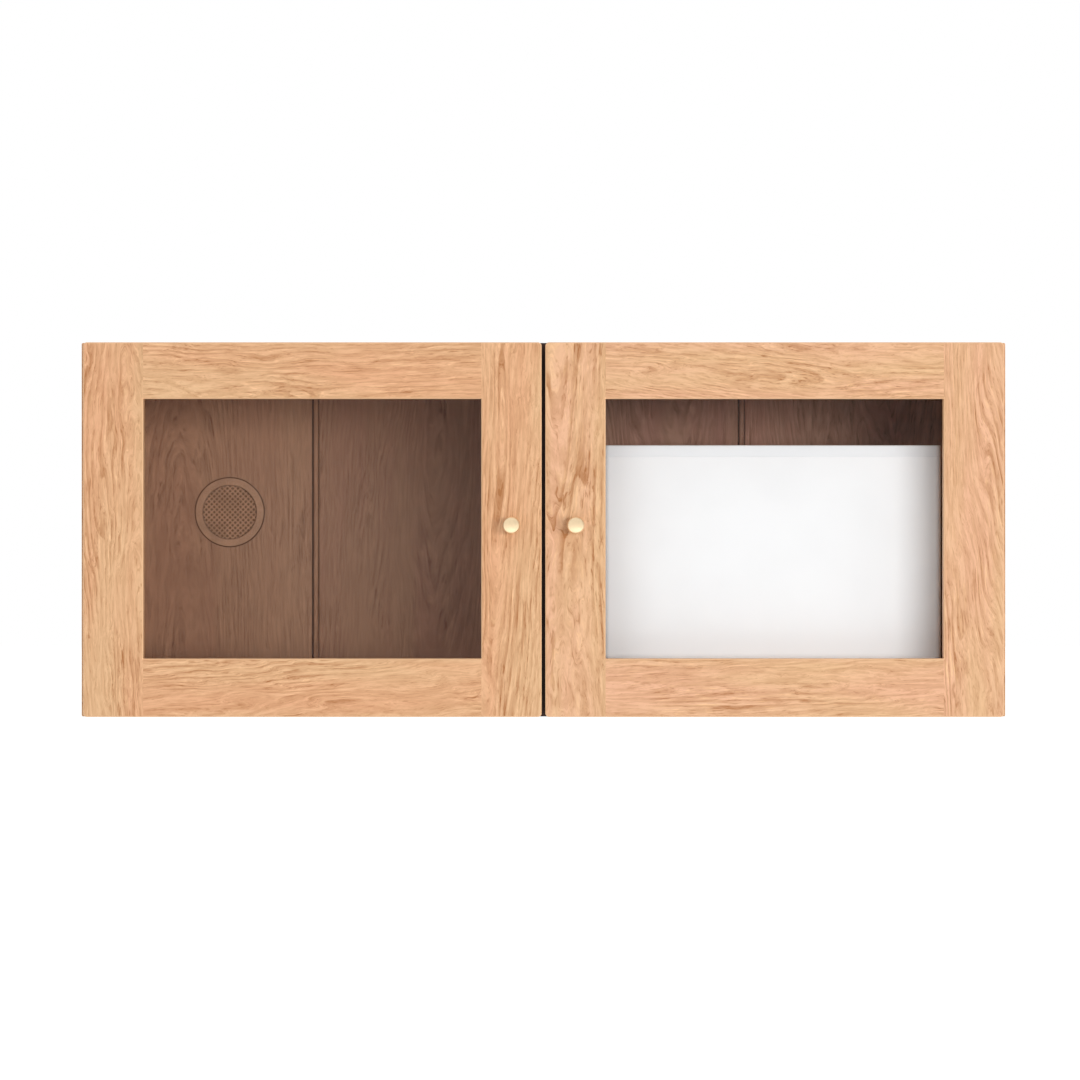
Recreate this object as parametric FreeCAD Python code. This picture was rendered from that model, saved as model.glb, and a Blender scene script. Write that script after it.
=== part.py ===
"""Wall mounted showcase: an oak case hung on a bevelled wall cleat, with two glazed doors.

Millimetres, +Z up. X runs along the wall, the wall is the plane y = 0 and the doors face -Y.
The origin is the middle of the wall cleat's back face, on the line of its screws.
"""
import FreeCAD, Part
import math
import os

from FreeCAD import Vector

os.makedirs("parts", exist_ok=True)

# Case
CASE_W = 989.0
CASE_H = 400.0
CASE_D = 298.0
PANEL_T = 18.0
DADO_DEPTH = 6.0
CASE_EDGE_R = 1.5
DOWEL_D = 8.0
DOWEL_L = 34.0
DOWEL_IN_SIDE = 11.0
DOWEL_INSETS = (38.0, 138.0, 238.0)

# Hanging cleats
BACK_RECESS = 18.0
CLEAT_PLAY = 1.0
CLEAT_END_GAP = 22.0
WALL_CLEAT_BACK_H = 43.0
CASE_CLEAT_BACK_H = 58.0
CLEAT_TIP = 1.5
WALL_SCREW_X = (125.0, 375.0)
WALL_HOLE_R = 3.25
WALL_SINK_R = 6.5

# Beaded back boards
BOARD_T = 8.0
BOARD_JOINTS = (-266.0, 0.0, 239.0)
BOARD_GAP = 0.3
EXPANSION_GAP = 1.0
GROOVE_DEPTH = 6.0
TONGUE_L = 5.0
TONGUE_T = 2.6
TONGUE_CLEAR = 0.1
BEAD_W = 6.5
BEAD_RISE = 1.6
QUIRK_W = 1.6
QUIRK_D = 2.2
BOARD_EASE = 0.8
BOARD_SCREW_INSET = 45.0

# Ventilation grille
VENT_INSET = 105.0
VENT_Z = 22.0
VENT_FLANGE_R = 41.5
VENT_FLANGE_T = 2.5
VENT_EDGE = 1.0
VENT_SIGHT_R = 31.5
VENT_SPIGOT_R = 35.0
VENT_BORE_R = 33.2
VENT_FIT = 0.1
MESH_T = 1.2
MESH_PLAY = 0.2
MESH_PITCH = 4.4
MESH_HOLE = 2.9
FILTER_T = 2.0
RETAINER_T = 3.0
RETAINER_W = 3.0

# Display plinth
PLINTH_SHIFT = 6.0
PLINTH_W = 369.0
PLINTH_D = 200.0
PLINTH_SETBACK = 38.0
PLINTH_H = 274.0
PLINTH_WALL = 9.0
PLINTH_R = 8.0
PLINTH_INNER_R = 1.0
CAP_T = 12.5
CAP_EDGE = 1.2
CAP_STEP = 5.5
CAP_PLAY = 0.5

# Doors
DOOR_GAP = 2.0
DOOR_T = 20.0
SIDE_REVEAL = 5.5
END_REVEAL = 1.0
CENTRE_GAP = 4.0
STILE_W = 64.0
TOP_RAIL_W = 60.0
BOTTOM_RAIL_W = 62.0
CORNER_R = 4.0
FRONT_EDGE = 1.2
BACK_EDGE_R = 3.0
SIGHT_EDGE = 1.2
REBATE_W = 9.0
REBATE_D = 10.0
TENON_L = 25.0
TENON_T = 8.0
TENON_INNER = 12.0
TENON_OUTER = 10.0
TENON_CLEAR = 0.1
TENON_END = 1.0
GLASS_T = 4.0
GLASS_PLAY = 1.0
BEAD_STRIP_W = 8.0
BEAD_STRIP_R = 4.0

# Door furniture
KNOB_RISE = 4.5
KNOB_HEAD_R = 9.0
KNOB_NECK_R = 4.4
KNOB_BASE_R = 5.6
KNOB_L = 23.0
KNOB_BASE_T = 1.4
KNOB_NECK_END = 9.0
KNOB_HEAD_START = 14.5
KNOB_RIM = 1.6
KNOB_DOME = 0.7
KNOB_FLARE_X = 0.28
KNOB_FLARE_Y = 0.72
KNOB_SCREW_R = 2.0
KNOB_SCREW_GRIP = 9.0
KNOB_SCREW_HEAD_R = 4.2
KNOB_SCREW_HEAD_T = 2.4
BUMPER_R = 4.0
BUMPER_T = 1.7
BUMPER_INSETS = (6.0, 28.0)

# Pivot hinges
OPEN_ANGLE = 100.0
PIVOT_INSET = 7.0
PIN_R = 2.5
PIN_L = 9.0
PIN_TIP = 0.8
PIN_CLEAR = 0.075
BUSH_R = 4.0
BUSH_L = 9.5
BUSH_FLANGE_R = 5.4
BUSH_FLANGE_T = 1.4
BUSH_PROUD = 0.4
LEAF_T = 2.0
LEAF_W = 11.0
LEAF_H = 46.0
TAB_W = 9.0
TAB_GAP = 0.5
TAB_CLEAR = 0.6
RECESS_R = 3.0
LEAF_SCREW_Z = (14.0, 36.0)

# Magnetic catches
CATCH_X = 30.0
CATCH_W = 36.0
CATCH_D = 34.0
CATCH_H = 13.0
CATCH_R = 2.0
CATCH_BACKSET = 1.0
POLE_T = 1.6
POLE_W = 24.0
POLE_PITCH = 5.0
POLE_BURIED = 12.0
POLE_GAP = 0.1
STRIKE_W = 34.0
STRIKE_H = 12.0
STRIKE_T = 1.2
STRIKE_HOLE_R = 1.6
STRIKE_HOLE_PITCH = 26.0

# Countersunk wood screws: head radius, shank radius, length
CLEAT_SCREW = (4.2, 2.2, 45.0)
BOARD_SCREW = (3.4, 1.7, 30.0)
LEAF_SCREW = (3.4, 1.7, 22.0)
CLEAT_SCREW_X = (60.0, 420.0)

# Cosine past which an edge counts as parallel to an axis
PARALLEL = 0.999

# Planes that follow from the sizes above
WALL_CLEAT_T = BACK_RECESS - CLEAT_PLAY
CASE_TOP = WALL_CLEAT_BACK_H / 2 + CASE_CLEAT_BACK_H + PANEL_T
CASE_BOTTOM = CASE_TOP - CASE_H
CASE_FRONT = -CASE_D
CASE_MID_Z = CASE_TOP - CASE_H / 2
SIDE_OUT = CASE_W / 2
SIDE_IN = SIDE_OUT - PANEL_T
CEILING = CASE_TOP - PANEL_T
FLOOR = CASE_BOTTOM + PANEL_T
BOARD_BACK = -BACK_RECESS
BOARD_FRONT = BOARD_BACK - BOARD_T
BOARD_MID = BOARD_BACK - BOARD_T / 2
DOOR_BACK = CASE_FRONT - DOOR_GAP
DOOR_FRONT = DOOR_BACK - DOOR_T
DOOR_LEFT = -SIDE_OUT + SIDE_REVEAL
DOOR_RIGHT = -CENTRE_GAP / 2
DOOR_TOP = CASE_TOP - END_REVEAL
DOOR_BOTTOM = CASE_BOTTOM + END_REVEAL
SIGHT_LEFT = DOOR_LEFT + STILE_W
SIGHT_RIGHT = DOOR_RIGHT - STILE_W
SIGHT_TOP = DOOR_TOP - TOP_RAIL_W
SIGHT_BOTTOM = DOOR_BOTTOM + BOTTOM_RAIL_W
REBATE_Y = DOOR_BACK - REBATE_D
PIVOT_X = DOOR_LEFT + PIVOT_INSET
PIVOT_Y = DOOR_BACK - DOOR_T / 2
VENT_X = VENT_INSET - SIDE_IN
VENT_CENTRE_Z = CASE_MID_Z + VENT_Z
PLINTH_X = (PANEL_T / 2 + SIDE_IN) / 2 + PLINTH_SHIFT
WALL_CLEAT_L = 2 * (SIDE_IN - CLEAT_END_GAP)

X_AXIS = Vector(1, 0, 0)
Y_AXIS = Vector(0, 1, 0)
Z_AXIS = Vector(0, 0, 1)


def box(x_range, y_range, z_range):
    """Return the box that fills three ranges."""
    size = [high - low for low, high in (x_range, y_range, z_range)]
    return Part.makeBox(*size, Vector(x_range[0], y_range[0], z_range[0]))


def flat_face(place, start, steps):
    """Close an outline: a step is an end point, or a point to pass and an end point for an arc."""
    edges = []
    here = start
    for step in steps:
        if isinstance(step[0], tuple):
            edges.append(Part.Arc(place(*here), place(*step[0]), place(*step[1])).toShape())
            here = step[1]
        else:
            edges.append(Part.LineSegment(place(*here), place(*step)).toShape())
            here = step
    return Part.Face(Part.Wire(edges))


def turned(start, steps, base, axis):
    """Revolve an outline of (radius, height) points round an axis that starts at base."""
    outline = flat_face(lambda radius, height: Vector(radius, 0, height), start, steps)
    solid = outline.revolve(Vector(0, 0, 0), Z_AXIS, 360)
    solid.Placement = FreeCAD.Placement(base, FreeCAD.Rotation(Z_AXIS, axis))
    return solid


def edges_along(shape, axis):
    """Return the straight edges that run parallel to an axis."""
    straight = [edge for edge in shape.Edges if edge.Curve.TypeId == "Part::GeomLine"]
    return [edge for edge in straight if abs(edge.tangentAt(edge.FirstParameter).dot(axis)) > PARALLEL]


def screw(sizes, base, axis):
    """Countersunk screw, its head's face at base and its shank along the axis."""
    head_r, shank_r, length = sizes
    steps = [(head_r, 0), (shank_r, head_r - shank_r), (shank_r, length), (0, length), (0, 0)]
    return turned((0, 0), steps, base, axis)


def cut_all(shape, tools):
    """Cut a list of solids from a shape."""
    return shape.cut(Part.makeCompound(tools))


def mirrored(shape):
    """Return the same piece on the other side of the case's middle."""
    return shape.mirror(Vector(0, 0, 0), X_AXIS)


def flipped(shape):
    """Return the same piece at the other end of the case's height."""
    return shape.mirror(Vector(0, 0, CASE_MID_Z), Z_AXIS)


def save(name, *shapes):
    """Write one node: a single solid, or the solids of identical pieces together."""
    solids = [solid for shape in shapes for solid in shape.Solids]
    node = solids[0] if len(solids) == 1 else Part.makeCompound(solids)
    node.exportStep("parts/" + name + ".step")


# Wall cleat and case cleat

def cleat(length, thickness, outline):
    """Extrude a cleat's section, given as (y, z) points, along the wall."""
    face = flat_face(lambda y, z: Vector(-length / 2, y, z), outline[0], outline[1:] + outline[:1])
    return face.extrude(X_AXIS * length)


def wall_cleat():
    """Cleat on the wall: its bevel rises away from the wall, and four countersunk holes fix it."""
    foot = -WALL_CLEAT_BACK_H / 2
    low = WALL_CLEAT_BACK_H / 2
    high = low + WALL_CLEAT_T - CLEAT_TIP
    front = -WALL_CLEAT_T
    outline = [(0, foot), (0, low), (front + CLEAT_TIP, high), (front, high), (front, foot)]
    bar = cleat(WALL_CLEAT_L, WALL_CLEAT_T, outline)
    sink = WALL_SINK_R - WALL_HOLE_R
    steps = [(WALL_SINK_R, 0), (WALL_HOLE_R, sink), (WALL_HOLE_R, WALL_CLEAT_T), (0, WALL_CLEAT_T), (0, 0)]
    places = [side * x for x in WALL_SCREW_X for side in (-1, 1)]
    holes = [turned((0, 0), steps, Vector(x, -WALL_CLEAT_T, 0), Y_AXIS) for x in places]
    return cut_all(bar, holes)


def case_cleat():
    """Cleat on the case: its bevel hooks over the wall cleat, between the sides and under the top."""
    low = WALL_CLEAT_BACK_H / 2
    tip = low + CLEAT_TIP
    front = low + BACK_RECESS
    outline = [(0, tip), (0, CEILING), (-BACK_RECESS, CEILING), (-BACK_RECESS, front), (-CLEAT_TIP, tip)]
    return cleat(2 * SIDE_IN, BACK_RECESS, outline)


def cleat_screws():
    """Screws down through the top panel into the case cleat."""
    places = [side * x for x in CLEAT_SCREW_X for side in (-1, 1)]
    return [screw(CLEAT_SCREW, Vector(x, -BACK_RECESS / 2, CASE_TOP), -Z_AXIS) for x in places]


# Carcass

def dowels():
    """Dowels that join the ends of the top and bottom panels to the sides."""
    pegs = []
    for side in (-1, 1):
        for z in (CASE_TOP - PANEL_T / 2, CASE_BOTTOM + PANEL_T / 2):
            for inset in DOWEL_INSETS:
                start = Vector(side * (SIDE_IN + DOWEL_IN_SIDE), CASE_FRONT + inset, z)
                pegs.append(Part.makeCylinder(DOWEL_D / 2, DOWEL_L, start, X_AXIS * -side))
    return pegs


def board_groove():
    """Space of the groove that holds the edges of the back boards in the sides and the top."""
    reach = SIDE_IN + GROOVE_DEPTH
    return box((-reach, reach), (BOARD_FRONT, BOARD_BACK), (CASE_BOTTOM, CEILING + GROOVE_DEPTH))


def side_panel(fixings):
    """Left side: full height and depth, grooved for the back and let in for the hinge leaves."""
    panel = box((-SIDE_OUT, -SIDE_IN), (CASE_FRONT, 0), (CASE_BOTTOM, CASE_TOP))
    outer = [edge for edge in edges_along(panel, Y_AXIS) if edge.BoundBox.XMax < -SIDE_OUT + PANEL_T / 2]
    panel = panel.makeFillet(CASE_EDGE_R, outer)
    return cut_all(panel.cut(board_groove()), [hinge_leaf(), flipped(hinge_leaf())] + fixings)


def top_panel(fixings):
    """Top: between the sides, reaching the wall, grooved for the back and housed for the partition."""
    panel = box((-SIDE_IN, SIDE_IN), (CASE_FRONT, 0), (CEILING, CASE_TOP))
    return cut_all(panel, [board_groove(), partition()] + fixings)


def bottom_panel(fixings):
    """Bottom: between the sides, ending at the boards, so that the space behind them is open below."""
    panel = box((-SIDE_IN, SIDE_IN), (CASE_FRONT, BOARD_FRONT), (CASE_BOTTOM, FLOOR))
    return cut_all(panel, [partition()] + fixings)


def partition():
    """Upright between the two bays, housed in the top and the bottom."""
    half = PANEL_T / 2
    return box((-half, half), (CASE_FRONT, BOARD_FRONT), (FLOOR - DADO_DEPTH, CEILING + DADO_DEPTH))


# Beaded back boards

def board_edges():
    """Return the left and right limits of each board's face."""
    reach = SIDE_IN + GROOVE_DEPTH - EXPANSION_GAP
    lefts = [-reach] + [joint + BOARD_GAP / 2 for joint in BOARD_JOINTS]
    rights = [joint - BOARD_GAP / 2 for joint in BOARD_JOINTS] + [reach]
    return list(zip(lefts, rights))


def beaded_edge(right):
    """Outline of a board's right edge from back to front: tongue, bead and quirk."""
    front_of_tongue = BOARD_MID - TONGUE_T / 2
    back_of_tongue = BOARD_MID + TONGUE_T / 2
    foot = BOARD_FRONT + BEAD_RISE
    quirk = BOARD_FRONT + QUIRK_D
    return [
        (right, BOARD_BACK), (right, back_of_tongue), (right + TONGUE_L, back_of_tongue),
        (right + TONGUE_L, front_of_tongue), (right, front_of_tongue), (right, foot),
        ((right - BEAD_W / 2, BOARD_FRONT), (right - BEAD_W, foot)),
        (right - BEAD_W, quirk), (right - BEAD_W - QUIRK_W, quirk), (right - BEAD_W - QUIRK_W, BOARD_FRONT),
    ]


def grooved_edge(left):
    """Outline of a board's left edge from front to back: eased corner and groove."""
    half = TONGUE_T / 2 + TONGUE_CLEAR
    depth = TONGUE_L + EXPANSION_GAP
    return [
        (left + BOARD_EASE, BOARD_FRONT), (left, BOARD_FRONT + BOARD_EASE), (left, BOARD_MID - half),
        (left + depth, BOARD_MID - half), (left + depth, BOARD_MID + half), (left, BOARD_MID + half),
        (left, BOARD_BACK),
    ]


def back_board(index, fixings):
    """One board of the back, with a bead beside each joint."""
    edges = board_edges()
    left, right = edges[index]
    right_side = [(right, BOARD_BACK), (right, BOARD_FRONT)]
    left_side = [(left, BOARD_FRONT), (left, BOARD_BACK)]
    if index < len(edges) - 1:
        right_side = beaded_edge(right)
    if index > 0:
        left_side = grooved_edge(left)
    steps = right_side[1:] + left_side + [right_side[0]]
    face = flat_face(lambda x, y: Vector(x, y, CASE_BOTTOM), right_side[0], steps)
    height = CEILING + GROOVE_DEPTH - EXPANSION_GAP - CASE_BOTTOM
    return cut_all(face.extrude(Z_AXIS * height), fixings)


def board_screws():
    """Two screws through the foot of each board into the bottom panel's back edge."""
    inset = BOARD_SCREW_INSET
    height = CASE_BOTTOM + PANEL_T / 2
    places = [x for left, right in board_edges() for x in (left + inset, right - inset)]
    return [screw(BOARD_SCREW, Vector(x, BOARD_BACK, height), -Y_AXIS) for x in places]


# Ventilation grille

def vent_base():
    """Centre of the grille on the boards' front face."""
    return Vector(VENT_X, BOARD_FRONT, VENT_CENTRE_Z)


def vent_hole():
    """Hole through the board for the grille's spigot."""
    return Part.makeCylinder(VENT_SPIGOT_R + VENT_FIT, BOARD_T, vent_base(), Y_AXIS)


def vent_ring():
    """Turned ring: a flange with eased edges on the board's face and a spigot through it."""
    front = -VENT_FLANGE_T
    steps = [
        (VENT_SIGHT_R, front + VENT_EDGE), (VENT_SIGHT_R + VENT_EDGE, front),
        (VENT_FLANGE_R - VENT_EDGE, front), (VENT_FLANGE_R, front + VENT_EDGE),
        (VENT_FLANGE_R, 0), (VENT_SPIGOT_R, 0), (VENT_SPIGOT_R, BOARD_T),
        (VENT_BORE_R, BOARD_T), (VENT_BORE_R, 0), (VENT_SIGHT_R, 0),
    ]
    return turned((VENT_SIGHT_R, 0), steps, vent_base(), Y_AXIS)


def vent_mesh():
    """Thin disc with diamond holes, clamped behind the ring's lip."""
    disc = Part.makeCylinder(VENT_BORE_R - MESH_PLAY, MESH_T, vent_base(), Y_AXIS)
    reach = VENT_SIGHT_R - MESH_HOLE
    count = int(VENT_SIGHT_R / MESH_PITCH) + 1
    holes = []
    for row in range(-count, count + 1):
        for column in range(-count, count + 1):
            if math.hypot(row, column) * MESH_PITCH < reach:
                holes.append(mesh_hole(row * MESH_PITCH, column * MESH_PITCH))
    return cut_all(disc, holes)


def mesh_hole(u, v):
    """One square hole at (u, v) on axes that lie at 45 degrees to the case."""
    half = MESH_HOLE / 2
    tool = box((u - half, u + half), (0, MESH_T), (v - half, v + half))
    tool.rotate(Vector(0, 0, 0), Y_AXIS, 45)
    tool.translate(vent_base())
    return tool


def vent_filter():
    """Felt disc behind the mesh that keeps dust out."""
    return Part.makeCylinder(VENT_BORE_R - MESH_PLAY, FILTER_T, vent_base() + Y_AXIS * MESH_T, Y_AXIS)


def vent_retainer():
    """Ring pressed into the spigot behind the filter."""
    start = vent_base() + Y_AXIS * (MESH_T + FILTER_T)
    ring = Part.makeCylinder(VENT_BORE_R, RETAINER_T, start, Y_AXIS)
    return ring.cut(Part.makeCylinder(VENT_BORE_R - RETAINER_W, RETAINER_T, start, Y_AXIS))


# Display plinth

def plinth_block(inset, low, high):
    """Upright block of the plinth's plan, shrunk by an inset, with round vertical corners."""
    half = PLINTH_W / 2 - inset
    front = CASE_FRONT + PLINTH_SETBACK
    block = box((PLINTH_X - half, PLINTH_X + half), (front + inset, front + PLINTH_D - inset), (low, high))
    return block.makeFillet(max(PLINTH_R - inset, PLINTH_INNER_R), edges_along(block, Z_AXIS))


def plinth_body():
    """Four walls of the plinth, open above and below."""
    top = FLOOR + PLINTH_H - CAP_T
    return plinth_block(0, FLOOR, top).cut(plinth_block(PLINTH_WALL, FLOOR, top))


def plinth_cap():
    """Lid of the plinth: a board with eased edges, rebated all round so that it drops inside the walls."""
    seat = FLOOR + PLINTH_H - CAP_T
    lid = plinth_block(0, seat, seat + CAP_T)
    rim = [edge for edge in lid.Edges if edge.BoundBox.ZMin > seat + CAP_T / 2]
    lid = lid.makeChamfer(CAP_EDGE, rim)
    return lid.fuse(plinth_block(PLINTH_WALL + CAP_PLAY, seat - CAP_STEP, seat)).removeSplitter()


# Doors: every piece is modelled for the left door and mirrored for the right one

def sight_opening():
    """Space of the glazed opening, flared at the front by the eased sight edges."""
    hole = box((SIGHT_LEFT, SIGHT_RIGHT), (DOOR_FRONT, DOOR_BACK), (SIGHT_BOTTOM, SIGHT_TOP))
    rings = []
    for grow, y in ((SIGHT_EDGE, DOOR_FRONT), (0, DOOR_FRONT + SIGHT_EDGE)):
        left, right = SIGHT_LEFT - grow, SIGHT_RIGHT + grow
        low, high = SIGHT_BOTTOM - grow, SIGHT_TOP + grow
        corners = [(left, low), (right, low), (right, high), (left, high), (left, low)]
        rings.append(Part.makePolygon([Vector(x, y, z) for x, z in corners]))
    return hole.fuse(Part.makeLoft(rings, True, True))


def rebate(play):
    """Ranges in x and z of the glazing rebate, drawn in by a play."""
    grow = REBATE_W - play
    return (SIGHT_LEFT - grow, SIGHT_RIGHT + grow), (SIGHT_BOTTOM - grow, SIGHT_TOP + grow)


def door_blank():
    """Outline of the whole door frame with rounded edges, its opening and its rebate."""
    blank = box((DOOR_LEFT, DOOR_RIGHT), (DOOR_FRONT, DOOR_BACK), (DOOR_BOTTOM, DOOR_TOP))
    blank = blank.makeFillet(CORNER_R, edges_along(blank, Y_AXIS))
    front = [edge for edge in blank.Edges if edge.BoundBox.YMax < DOOR_FRONT + DOOR_T / 4]
    blank = blank.makeChamfer(FRONT_EDGE, front)
    back = [edge for edge in blank.Edges if edge.BoundBox.YMin > DOOR_BACK - DOOR_T / 4]
    blank = blank.makeFillet(BACK_EDGE_R, back)
    x_range, z_range = rebate(0)
    return cut_all(blank, [sight_opening(), box(x_range, (REBATE_Y, DOOR_BACK), z_range)])


def tenons(outer, inner, grow, extra):
    """Tenons at both ends of a rail, between its outer and inner edge; grow and extra give the mortises."""
    low, high = sorted((outer, inner))
    y_range = (PIVOT_Y - TENON_T / 2 - grow, PIVOT_Y + TENON_T / 2 + grow)
    z_range = (low - grow, high + grow)
    reach = TENON_L + extra
    return [box((SIGHT_LEFT - reach, SIGHT_LEFT), y_range, z_range),
            box((SIGHT_RIGHT, SIGHT_RIGHT + reach), y_range, z_range)]


def top_tenons(grow=0, extra=0):
    """Tenons of the top rail."""
    return tenons(DOOR_TOP - TENON_OUTER, SIGHT_TOP + TENON_INNER, grow, extra)


def bottom_tenons(grow=0, extra=0):
    """Tenons of the bottom rail."""
    return tenons(DOOR_BOTTOM + TENON_OUTER, SIGHT_BOTTOM - TENON_INNER, grow, extra)


def rail(blank, z_range, ends):
    """One rail: the frame's outline between the stiles, with its tenons."""
    zone = box((SIGHT_LEFT, SIGHT_RIGHT), (DOOR_FRONT, DOOR_BACK), z_range)
    piece = blank.common(zone)
    for end in ends:
        piece = piece.fuse(end)
    return piece.removeSplitter()


def stile(blank, x_range, cuts):
    """One stile: the frame's outline over its full height, with its mortises and seats."""
    zone = box(x_range, (DOOR_FRONT, DOOR_BACK), (DOOR_BOTTOM, DOOR_TOP))
    mortises = top_tenons(TENON_CLEAR, TENON_END) + bottom_tenons(TENON_CLEAR, TENON_END)
    return cut_all(blank.common(zone), mortises + cuts)


def glass():
    """Pane in the rebate, with play round its edge."""
    x_range, z_range = rebate(GLASS_PLAY)
    return box(x_range, (REBATE_Y, REBATE_Y + GLASS_T), z_range)


def glazing_bead(length, middle, angle):
    """Mitred bead that holds the glass, its outer edge at middle and turned about the door's normal."""
    depth = REBATE_D - GLASS_T
    diagonal = BEAD_STRIP_R * (1 - math.sqrt(0.5))
    steps = [
        (0, depth), (BEAD_STRIP_R - BEAD_STRIP_W, depth),
        ((diagonal - BEAD_STRIP_W, depth - diagonal), (-BEAD_STRIP_W, depth - BEAD_STRIP_R)),
        (-BEAD_STRIP_W, 0), (0, 0),
    ]
    section = flat_face(lambda z, y: Vector(-length / 2, y, z), (0, 0), steps)
    half = length / 2
    plan = [(half, 0), (half - BEAD_STRIP_W, -BEAD_STRIP_W), (BEAD_STRIP_W - half, -BEAD_STRIP_W), (-half, 0)]
    mitre = flat_face(lambda x, z: Vector(x, 0, z), (-half, 0), plan).extrude(Y_AXIS * depth)
    strip = section.extrude(X_AXIS * length).common(mitre)
    strip.rotate(Vector(0, 0, 0), Y_AXIS, angle)
    strip.translate(middle)
    return strip


def glazing_beads():
    """The four beads of a door, by the side of the opening that they line."""
    (left, right), (low, high) = rebate(0)
    y = REBATE_Y + GLASS_T
    x = (left + right) / 2
    z = (low + high) / 2
    return {
        "top": glazing_bead(right - left, Vector(x, y, high), 0),
        "bottom": glazing_bead(right - left, Vector(x, y, low), 180),
        "hinge": glazing_bead(high - low, Vector(left, y, z), -90),
        "knob": glazing_bead(high - low, Vector(right, y, z), 90),
    }


# Door furniture

def knob_base():
    """Point where the knob stands on the middle of its stile."""
    return Vector(DOOR_RIGHT - STILE_W / 2, DOOR_FRONT, CASE_MID_Z + KNOB_RISE)


def knob():
    """Turned knob: a small foot, a neck that flares out, and a slightly domed face with an eased rim."""
    flare = (KNOB_NECK_R + KNOB_FLARE_X * (KNOB_HEAD_R - KNOB_NECK_R),
             KNOB_NECK_END + KNOB_FLARE_Y * (KNOB_HEAD_START - KNOB_NECK_END))
    face = KNOB_L - KNOB_DOME
    steps = [
        (KNOB_BASE_R, 0), (KNOB_BASE_R, KNOB_BASE_T), (KNOB_NECK_R, 2 * KNOB_BASE_T),
        (KNOB_NECK_R, KNOB_NECK_END), (flare, (KNOB_HEAD_R, KNOB_HEAD_START)),
        (KNOB_HEAD_R, face - KNOB_RIM), (KNOB_HEAD_R - KNOB_RIM, face), (0, KNOB_L), (0, 0),
    ]
    return turned((0, 0), steps, knob_base(), -Y_AXIS).cut(knob_screw())


def knob_screw():
    """Machine screw from the back of the stile into the knob."""
    head = Vector(knob_base().x, DOOR_BACK, knob_base().z)
    length = DOOR_T + KNOB_SCREW_GRIP
    neck = KNOB_SCREW_HEAD_T
    steps = [(KNOB_SCREW_HEAD_R, 0), (KNOB_SCREW_HEAD_R, neck), (KNOB_SCREW_R, neck), (KNOB_SCREW_R, length)]
    return turned((0, 0), steps + [(0, length), (0, 0)], head, -Y_AXIS)


def bumpers():
    """Soft bumpers on the back of the knob stile, which meet the front edge of the bottom panel."""
    steps = [(BUMPER_R, 0), (BUMPER_R, BUMPER_T / 2), (BUMPER_R / 2, BUMPER_T), (0, BUMPER_T), (0, 0)]
    z = CASE_BOTTOM + PANEL_T / 2
    places = [Vector(DOOR_RIGHT - BUMPER_R - inset, DOOR_BACK, z) for inset in BUMPER_INSETS]
    return [turned((0, 0), steps, place, Y_AXIS) for place in places]


# Pivot hinges

def hinge_leaf():
    """Leaf of the top left bracket, let into the front edge of the side."""
    half = LEAF_W / 2
    across = (PIVOT_X - half, PIVOT_X + half)
    return box(across, (CASE_FRONT, CASE_FRONT + LEAF_T), (DOOR_TOP - LEAF_H, DOOR_TOP))


def pivot_bracket():
    """Top bracket of the left door: a leaf, a tab with a round nose, and the pin under it."""
    half = TAB_W / 2
    bend = CASE_FRONT + LEAF_T
    near, far = PIVOT_X + half, PIVOT_X - half
    outline = [(near, bend), (near, PIVOT_Y), ((PIVOT_X, PIVOT_Y - half), (far, PIVOT_Y)), (far, bend)]
    floor = DOOR_TOP - LEAF_T
    tab = flat_face(lambda x, y: Vector(x, y, floor), (far, bend), outline).extrude(Z_AXIS * LEAF_T)
    steps = [(PIN_R, 0), (PIN_R, PIN_L - PIN_TIP), (PIN_R - PIN_TIP, PIN_L), (0, PIN_L), (0, 0)]
    pin = turned((0, 0), steps, Vector(PIVOT_X, PIVOT_Y, floor), -Z_AXIS)
    return cut_all(hinge_leaf().fuse(tab).fuse(pin).removeSplitter(), leaf_screws())


def leaf_screws():
    """Screws of the top left bracket."""
    places = [Vector(PIVOT_X, CASE_FRONT, DOOR_TOP - z) for z in LEAF_SCREW_Z]
    return [screw(LEAF_SCREW, place, Y_AXIS) for place in places]


def recess_floor():
    """Height of the recess in the top of the door, under the tab."""
    return DOOR_TOP - LEAF_T - TAB_GAP


def pivot_recess():
    """Space that the tab sweeps in the top of the door as it opens, and the bush's seat."""
    tilt = math.radians(OPEN_ANGLE - 90)
    reach_x = PIVOT_INSET + TAB_W / 2 + TAB_CLEAR
    reach_y = DOOR_T / 2 + PIVOT_INSET * math.tan(tilt) + TAB_W / 2 / math.cos(tilt) + TAB_CLEAR
    room = box((DOOR_LEFT - RECESS_R, DOOR_LEFT + reach_x), (DOOR_BACK - reach_y, DOOR_BACK + RECESS_R),
               (recess_floor(), DOOR_TOP))
    corner = [edge for edge in edges_along(room, Z_AXIS)
              if edge.BoundBox.XMin > DOOR_LEFT and edge.BoundBox.YMax < DOOR_BACK]
    return room.makeFillet(RECESS_R, corner)


def pivot_bush():
    """Flanged bush in the top of the left door, just proud of the recess."""
    bore = Part.makeCylinder(PIN_R + PIN_CLEAR, DOOR_T, Vector(PIVOT_X, PIVOT_Y, DOOR_TOP), -Z_AXIS)
    return bush_seat().cut(bore)


def bush_seat():
    """Stepped hole that the bush fills, with the room that its flange takes over the recess."""
    top = BUSH_PROUD
    shoulder = top - BUSH_FLANGE_T
    foot = shoulder - BUSH_L
    steps = [
        (BUSH_FLANGE_R, top), (BUSH_FLANGE_R, shoulder), (BUSH_R, shoulder),
        (BUSH_R, foot), (0, foot), (0, top),
    ]
    return turned((0, top), steps, Vector(PIVOT_X, PIVOT_Y, recess_floor()), Z_AXIS)


# Magnetic catches

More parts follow.
